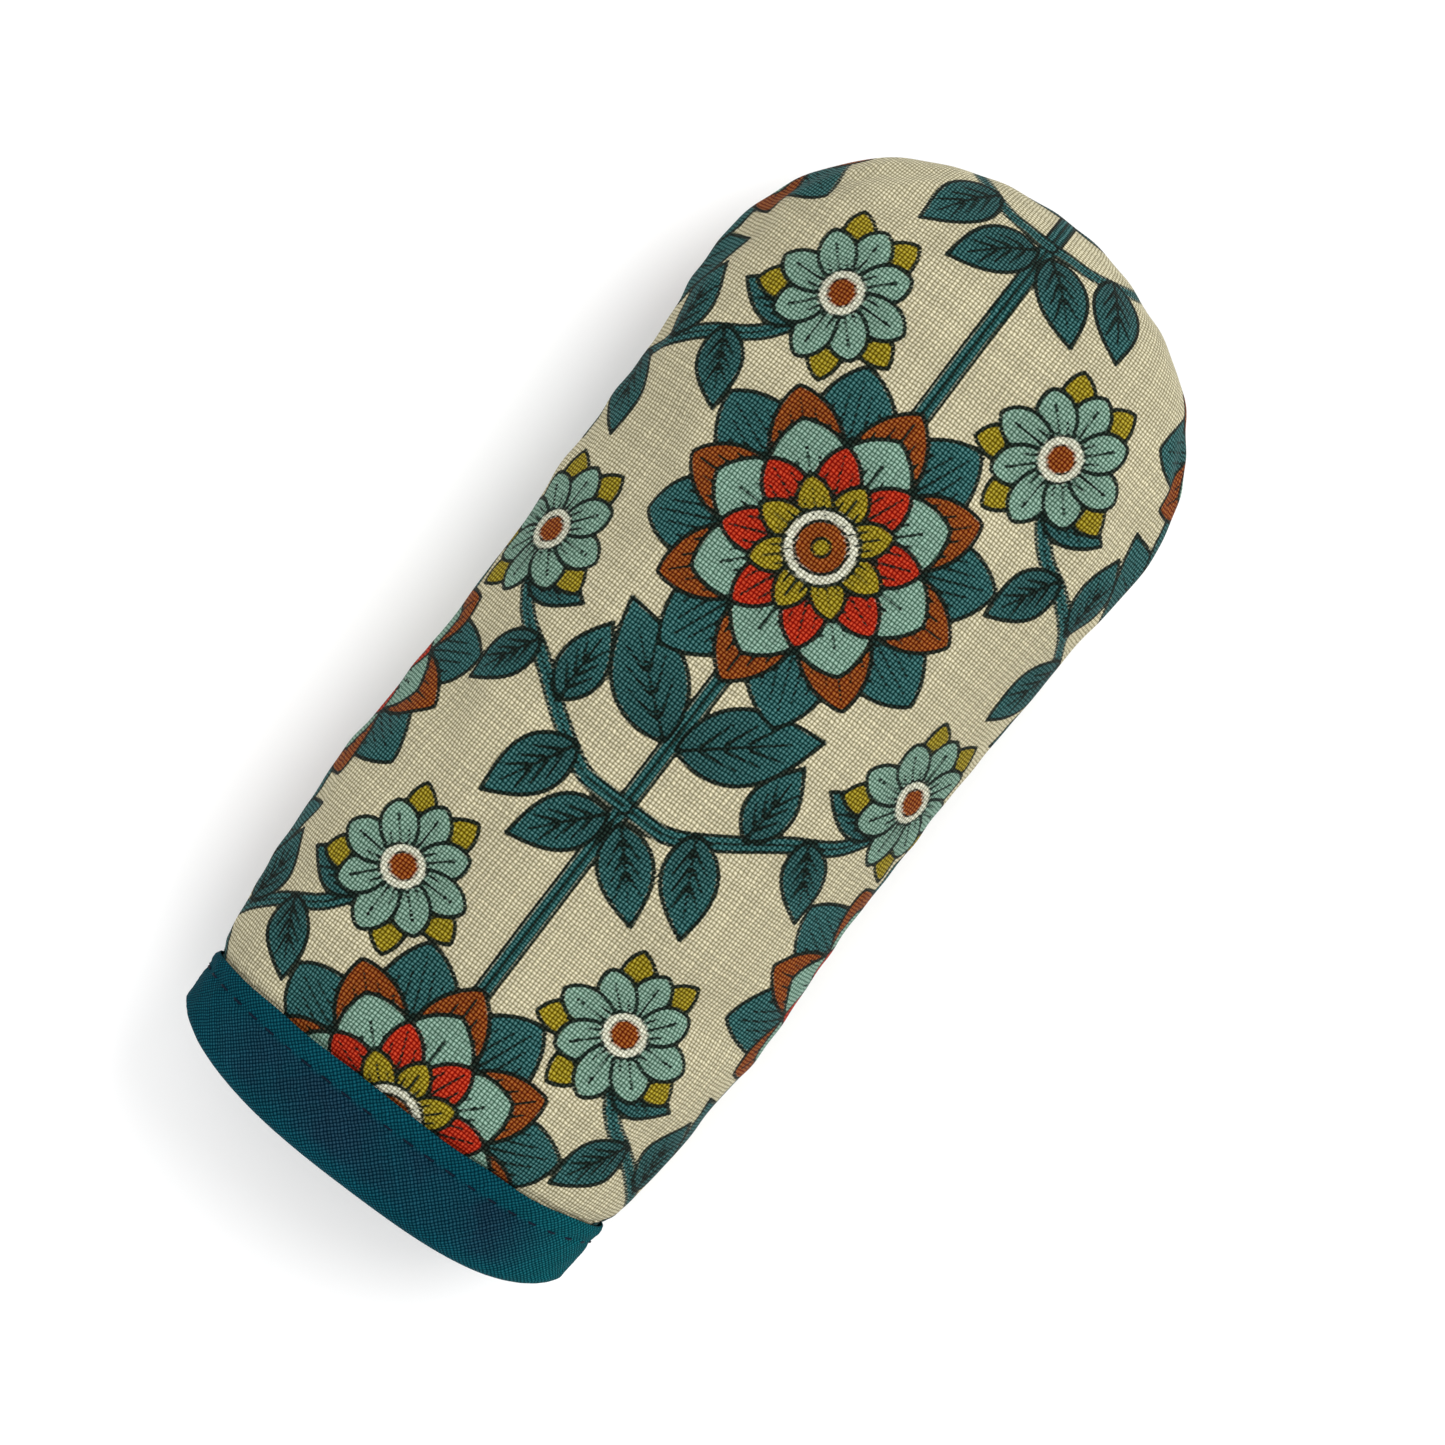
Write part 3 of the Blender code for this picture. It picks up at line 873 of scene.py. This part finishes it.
def shell(side, moves, material):
    """A printed panel: puckered by the simulation, drawn in along the seam and pressed at the cuff."""
    panel = Panel(side, SHELL_COLUMNS, SHELL_ROWS, FOLDED_EDGE)
    from_seam = (1.0 - np.abs(panel.across)) * panel.half_span[:, None]
    past_band = panel.y - cuff_y(panel.angle, BINDING_WIDTH)
    loose = smoothstep(0.0, BAND_REACH, past_band)
    groove = GROOVE * loose
    depth = groove * bell(from_seam, GROOVE_REACH)
    base, _ = surface(side, panel.angle, panel.y)
    gathers = smooth_noise(base * (1, 1, 0.3), GATHER_SIZE, 5) * bell(from_seam, GATHER_REACH)
    gathers = gathers * smoothstep(0.0, 0.0035, from_seam) * smoothstep(0.0, 0.010, past_band)
    depth = depth + GATHERS * gathers
    if side == "back":
        depth = depth + BACK_INSET * loose * bell(from_seam, INSET_REACH)
    depth = depth - LUMPS * smooth_noise(base, LUMP_SIZE, 9)
    shoulder = smoothstep(0.0004, 0.0022, past_band) * smoothstep(BAND_REACH, 0.004, past_band)
    depth = depth - BAND_SHOULDER * shoulder
    depth = np.where(past_band < 0.0004, np.maximum(depth, PRESSED_DEPTH), depth)
    edges = flanged(groove, 1.0, 1.0)
    turned_in = len(FLANGE_DEPTHS)
    depth = np.hstack([edges[:, :turned_in], depth, edges[:, -turned_in:]])
    angle, y, v = flanged(panel.angle), flanged(panel.y), flanged(panel.v)
    u = flanged(panel.u, -1.0, 1.0)
    free = smoothstep(0.0, 0.005, past_band) * (1.0 - SEAM_HOLD * bell(from_seam, HOLD_REACH))
    shift = moves_on(panel, moves) * free[..., None]
    shift = np.pad(shift, ((0, 0), (turned_in, turned_in), (0, 0)), mode="edge")
    points = settle(sunk(side, angle, y, depth, SEAM_GAP, shift))
    columns = points.shape[1]
    tip = settle(sunk(side, np.zeros(1), np.full(1, HALF_LENGTH), np.full(1, GROOVE), SEAM_GAP))
    faces = grid_faces(SHELL_ROWS, columns).tolist()
    last = (SHELL_ROWS - 1) * columns
    faces += [(last + i, last + i + 1, SHELL_ROWS * columns) for i in range(columns - 1)]
    u_all, v_all = np.append(u.ravel(), 0.0), np.append(v.ravel(), panel.tip_v)
    dye, ink = printed(u_all, v_all, side)
    obj = new_mesh(
        f"printed_shell_{side}",
        np.vstack([points.reshape(-1, 3), tip]),
        faces,
        material,
        (("dye", dye), ("ink", ink), ("cloth", np.stack([u_all, v_all, 0 * u_all], -1))),
        flip=side == "back",
    )
    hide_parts(f"shell_{side}")
    return obj


def layer(name, side, material, slot, grid, lumps, lump_size, margin=SEAM_MARGIN, pressed=0.0):
    """An inner layer as a closed solid: two skins, joined round the mouth and the seam.

    Its faces are lumpy in the body; pressed is how far the binding squeezes its inner face at the cuff.
    """
    columns, rows = grid
    panel = Panel(side, columns, rows, FOLDED_EDGE if pressed else LAYER_EDGE)
    skins = []
    for face, seed in ((0, 3), (1, 4)):
        depth = layer_depths(name, panel.y)[face]
        base, _ = surface(side, panel.angle, panel.y)
        loft = smoothstep(CUFF_END, PUFFED_FROM, panel.y)
        lumpy = loft * lumps * smooth_noise(base, lump_size, seed)
        depth = depth + lumpy - (1 - loft) * pressed * face
        points = settle(sunk(side, panel.angle, panel.y, depth, margin), float(depth.mean()))
        tip_depth = layer_depths(name, np.array([HALF_LENGTH]))[face]
        tip = sunk(side, np.zeros(1), np.full(1, HALF_LENGTH), tip_depth, margin)
        skins.append(np.vstack([points.reshape(-1, 3), tip]))
    wide, count = columns + 1, len(skins[0])
    faces = []
    for start, order in ((0, 1), (count, -1)):
        faces += [tuple(q[::order]) for q in grid_faces(rows, wide, start).tolist()]
        last = start + (rows - 1) * wide
        faces += [(last + i, last + i + 1, start + count - 1)[::order] for i in range(columns)]
    edge = list(range(wide))
    edge += [r * wide + columns for r in range(1, rows)] + [count - 1]
    edge += [r * wide for r in range(rows - 1, 0, -1)]
    for a, b in zip(edge, edge[1:] + edge[:1]):
        faces.append((b, a, count + a, count + b))
    u, v = np.append(panel.u.ravel(), 0.0), np.append(panel.v.ravel(), panel.tip_v)
    cloth = np.tile(np.stack([u, v, 0 * u], -1), (2, 1))
    obj = new_mesh(f"{name}_{side}_soft", np.vstack(skins), faces, material, (("cloth", cloth),),
                   flip=side == "back")
    obj.data.set_sharp_from_angle(angle=math.radians(60))
    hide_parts(f"{name}_{side}")
    return obj


def around(count):
    """Evenly spaced stations round the mouth: (side, angles) pairs, distances along, and the girth."""
    halves, girth = [], 0.0
    for side in SIDES:
        arc, angle = quarter_arc(side, -HALF_LENGTH)
        full_angle = np.concatenate([angle, math.pi - angle[-2::-1]])
        full_arc = np.concatenate([arc, 2 * arc[-1] - arc[-2::-1]])
        halves.append((side, full_arc, full_angle, girth))
        girth += full_arc[-1]
    at = np.arange(count) * girth / count
    stations = []
    for side, arc, angle, start in halves:
        chosen = at[(at >= start) & (at < start + arc[-1])] - start
        chosen = arc[-1] - chosen if side == "back" else chosen
        stations.append((side, np.interp(chosen, arc, angle)))
    return stations, at, girth


def around_points(stations, distance, depth):
    """Points at a distance from the rim and a depth, at every station round the mouth."""
    ends = np.cumsum([len(angle) for _, angle in stations])
    split = (np.split(np.broadcast_to(values, ends[-1]), ends[:-1]) for values in (distance, depth))
    return np.vstack([
        sunk(side, angle, cuff_y(angle, s), d) for (side, angle), s, d in zip(stations, *split)
    ])


BINDING_STATIONS = 460
FOLD_REACH = 0.0026  # how far the rounded fold reaches up the sleeve from the rim
CLOTH_THICKNESS = 0.00040
FURROW, FURROW_REACH = 0.00018, 0.0008  # along the stitches, deeper at each needle hole
PAD, PAD_REACH, PAD_FROM_STITCH = 0.00006, 0.0009, 0.0016  # the cloth's swell above the furrow
EDGE_TURN, EDGE_REACH, EDGE_THINNING = 0.00030, 0.00045, 0.00015
EDGE_WAVE, WAVE_REACH = 0.00018, 0.002


def cuff_core():
    """Depth of the pressed layers' inner face at the cuff."""
    return float(layer_depths("lining", np.array([-HALF_LENGTH]))[1][0])


def binding_path():
    """The binding's outer face as (distance from the rim, depth, path length), outer edge to inner."""
    leaf = BINDING_GAP + BINDING_THICKNESS
    core = cuff_core()
    outer_run = np.linspace(BINDING_WIDTH, FOLD_REACH, 34)
    turn = np.linspace(0, math.pi, 24)[1:-1]
    fold_s = FOLD_REACH * (1 - np.sin(turn))
    fold_d = core / 2 - (core / 2 + leaf) * np.cos(turn)
    inner_run = np.linspace(FOLD_REACH, BINDING_INSIDE, 26)
    s = np.concatenate([outer_run, fold_s, inner_run])
    d = np.concatenate([np.full(34, -leaf), fold_d, np.full(26, core + leaf)])
    return s, d, path_length(s, d)


def cuff_binding(material):
    """The bias strip: a rounded fold at the rim, turned-under edges, and a furrow along the stitches."""
    stations, at, girth = around(BINDING_STATIONS)
    s, d, path = binding_path()
    middle = cuff_core() / 2
    reach = middle + BINDING_GAP + BINDING_THICKNESS
    turn = at * 2 * math.pi / girth
    beat = np.cos(turn * round(girth / STITCH_PITCH))
    outer, inner = [], []
    for distance, level in zip(s, d):
        outward = -1 if level < middle else 1
        flat = min(1.0, abs(level - middle) / reach)  # 0 at the very end of the fold
        from_edge = distance - (BINDING_WIDTH if outward < 0 else BINDING_INSIDE)
        from_stitch = distance - STITCH_FROM_RIM
        furrow = FURROW * bell(from_stitch, FURROW_REACH) * (1 + 0.45 * beat)
        pad = PAD * bell(from_stitch - PAD_FROM_STITCH, PAD_REACH) * (1 - 0.5 * beat)
        turned_edge = bell(from_edge, EDGE_REACH)
        place = 40 * distance
        ring = np.stack([np.cos(turn + place), np.sin(turn + place), np.full_like(at, place)], -1)
        drag = 0.00010 * smooth_noise(ring, 0.22, 21) + 0.00005 * smooth_noise(ring, 0.07, 22)
        depth = level + outward * flat * (drag + pad - furrow - EDGE_TURN * turned_edge)
        wave = EDGE_WAVE * smooth_noise(ring, 0.5, 23) * bell(from_edge, WAVE_REACH)
        outer.append(around_points(stations, distance + wave, depth))
        thickness = CLOTH_THICKNESS - EDGE_THINNING * turned_edge
        within = distance + wave + thickness * math.sqrt(1.0 - flat * flat)
        inner.append(around_points(stations, within, depth - outward * flat * thickness))
    kept = [*range(len(s) - 1, 0, -2), 0]
    loops = np.array(outer + [inner[k] for k in kept])
    count = loops.shape[1]
    faces = grid_faces(len(loops), count, closed=True).tolist()
    last = (len(loops) - 1) * count
    faces += [(last + i, last + (i + 1) % count, (i + 1) % count, i) for i in range(count)]
    across = [np.repeat(np.concatenate([values, values[kept]]), count) for values in (s, path)]
    cloth = np.stack([np.tile(at, len(loops)), *across], -1)
    obj = new_mesh("bias_binding", loops.reshape(-1, 3), faces, material, (("cloth", cloth),))
    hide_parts("cuff_binding")
    return obj


PLIES, TWIST, PLY_RELIEF = 3, 0.0011, 0.16  # TWIST is the length of thread between two plies


def twisted_tube(points, radius, sides=12):
    """A thread along a line of points, lobed like its plies, with narrowed ends."""
    points = np.asarray(points, float)
    tangent = unit(np.gradient(points, axis=0))
    side = unit(np.cross(tangent, (0.0, 0.0, 1.0) if abs(tangent[0][2]) < 0.9 else (1.0, 0.0, 0.0)))
    over = np.cross(side, tangent)
    length = path_length(*points.T)
    turn = np.linspace(0, 2 * math.pi, sides + 1)[:-1]
    lobes = np.cos(PLIES * turn - length[:, None] * 2 * math.pi / TWIST)
    count = np.arange(len(points))
    taper = np.minimum(1.0, np.minimum(count, count[::-1]) / 1.5 + 0.45)
    lobed = radius * (1 + PLY_RELIEF * lobes) * taper[:, None]
    rings = points[:, None] + lobed[..., None] * (
        np.cos(turn)[None, :, None] * side[:, None] + np.sin(turn)[None, :, None] * over[:, None]
    )
    faces = grid_faces(len(points), sides, closed=True).tolist()
    last = (len(points) - 1) * sides
    faces.append(tuple(range(sides))[::-1])
    faces.append(tuple(range(last, last + sides)))
    along = np.repeat(length, sides)
    cloth = np.stack([along, np.tile(turn, len(points)) * radius, 0 * along], -1)
    return rings.reshape(-1, 3), faces, cloth


def threads(name, lines, radius, material, node, slot, **form):
    """Separate lengths of twisted thread, joined as one piece that stands for a CAD node."""
    points, faces, cloths, start = [], [], [], 0
    for line in lines:
        tube, quads, cloth = twisted_tube(line, radius, **form)
        points.append(tube)
        cloths.append(cloth)
        faces += [tuple(start + n for n in face) for face in quads]
        start += len(tube)
    obj = new_mesh(name, np.vstack(points), faces, material, (("cloth", np.vstack(cloths)),), flip=True)
    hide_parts(node)
    return obj


STITCH_STEPS, THREAD_STEPS = 16, 10  # steps in a stitch's pitch, and how many its thread shows for
STITCH_BOTTOM, STITCH_RISE = -0.00046, 0.00040


def stitch_row(name, node, outward, material):
    """The binding's lockstitches: each rises out of one needle hole and dives into the next."""
    count = round(around(8)[2] / STITCH_PITCH)
    stations, _, _ = around(count * STITCH_STEPS)
    leaf = BINDING_GAP + BINDING_THICKNESS
    face = -leaf if outward < 0 else cuff_core() + leaf
    rng = np.random.default_rng(4)
    every = around_points(stations, STITCH_FROM_RIM, face)
    normal = unit(around_points(stations, STITCH_FROM_RIM, face + outward * 0.001) - every)
    rise = STITCH_RISE * np.sin(np.linspace(0, math.pi, THREAD_STEPS)) ** 0.55
    lines = []
    for k in range(count):
        span = (np.arange(THREAD_STEPS) + 1 + k * STITCH_STEPS) % len(every)
        lift = STITCH_BOTTOM + rise + 0.00002 * rng.normal()
        lines.append(every[span] + normal[span] * lift[:, None])
    return threads(name, lines, 0.00013, material, node, "dark_thread")


def seam_stitches(name, node, layer_name, depth, material):
    """The seam's thread, weaving through both halves up one side, round the head and down the other."""
    y = np.concatenate([
        np.arange(cuff_y(math.pi, 0.002), HEAD_START, 0.0006),
        HEAD_START + (HALF_LENGTH - HEAD_START) * np.sin(np.linspace(0.01, math.pi / 2, 60)),
    ])
    base = layer_depths(layer_name, y)[0] + depth
    right = sunk("front", 0 * y, y, base)
    route = np.vstack([right, (right * (-1, 1, 1))[-2::-1]])
    step = path_length(*route.T)
    even = np.arange(0, step[-1], 0.0005)
    route = np.stack([np.interp(even, step, route[:, k]) for k in range(3)], -1)
    route[:, 2] = SEAM_HEIGHT + 0.00008 * np.sin(2 * math.pi * even / 0.005)
    return threads(name, [route], 0.00014, material, node, "cream_thread", sides=8)


# -------- stage

def stage():
    floor_material = Shader("pale_floor", 0.9)
    floor_material.set("Base Color", (0.93, 0.93, 0.93))
    mesh = bpy.data.meshes.new("floor")
    corners = [(-3.0, -3.0, 0.0), (3.0, -3.0, 0.0), (3.0, 3.0, 0.0), (-3.0, 3.0, 0.0)]
    mesh.from_pydata(corners, [], [(0, 1, 2, 3)])
    mesh.materials.append(floor_material.material)
    added("floor", mesh)
    world = bpy.data.worlds.new("studio")
    world.use_nodes = True
    background = world.node_tree.nodes["Background"]
    background.inputs["Color"].default_value = (1.0, 1.0, 1.0, 1.0)
    background.inputs["Strength"].default_value = 1.0
    bpy.context.scene.world = world


def softbox(name, place, target, size, power):
    light = bpy.data.lights.new(name, "AREA")
    light.shape = "DISK"
    light.size = size
    light.energy = power
    obj = added(name, light)
    obj.location = place
    obj.rotation_euler = (Vector(target) - Vector(place)).to_track_quat("-Z", "Y").to_euler()


CAMERA_HEIGHT = 0.52  # above the seam plane
VIEW_ROLL = math.radians(37.3)  # how far the sleeve leans from upright in the picture
PICTURE_WIDTH = 0.1860  # of the seam plane


def camera():
    data = bpy.data.cameras.new("camera")
    data.sensor_width = 36.0
    data.lens = 36.0 * CAMERA_HEIGHT / PICTURE_WIDTH
    data.clip_start = 0.01
    obj = added("camera", data)
    across = Vector((math.cos(VIEW_ROLL), math.sin(VIEW_ROLL), 0.0))
    up = Vector((-math.sin(VIEW_ROLL), math.cos(VIEW_ROLL), 0.0))
    aim = 0.0018 * across - 0.0033 * up
    obj.location = (aim.x, aim.y, SEAM_HEIGHT + CAMERA_HEIGHT)
    obj.rotation_euler = (0.0, 0.0, VIEW_ROLL)
    bpy.context.scene.camera = obj


# -------- assembly

camera()
stage()
softbox("key", (0.30, 0.42, 0.62), (0, 0, 0.02), 0.6, 3.6)
softbox("fill", (-0.10, -0.60, 0.60), (0, 0, 0.02), 0.8, 1.5)
bpy.context.scene.view_settings.view_transform = "Standard"

moves = simulate_puckers()
cotton = printed_cotton()
lining = lining_cotton()
wadding = fibrous("wadding", (0.80, 0.78, 0.71), (0.62, 0.60, 0.54))
barrier = fibrous("heat_barrier", (0.66, 0.67, 0.69), (0.40, 0.41, 0.43), 0.5, 0.5)
dark_thread = thread_material("dark_thread", NAVY_THREAD)
cream_thread = thread_material("cream_thread", CREAM_THREAD)

made = []
for side in SIDES:
    shell_piece = shell(side, moves, cotton)
    wad = layer("wadding", side, wadding, "wadding", (44, 84), 0.00008, 0.007)
    felt = layer("heat_barrier", side, barrier, "heat_barrier", (44, 84), 0.00004, 0.005)
    inside = layer("lining", side, lining, "lining_cotton", (72, 130), 0.00010, 0.012, 0.0001, 0.00025)
    made += [shell_piece, wad, felt, inside]
strip = cuff_binding(binding_cotton(around(8)[2]))
made += [
    strip,
    stitch_row("topstitches", "binding_topstitch", -1, dark_thread),
    stitch_row("inner_stitches", "binding_inner_stitch", 1, dark_thread),
    seam_stitches("shell_seam_stitches", "shell_seam_thread", "shell", 0.0012, cream_thread),
    seam_stitches("lining_seam_stitches", "lining_seam_thread", "lining", 0.0004, cream_thread),
]
for piece in made:
    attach(piece, "root")
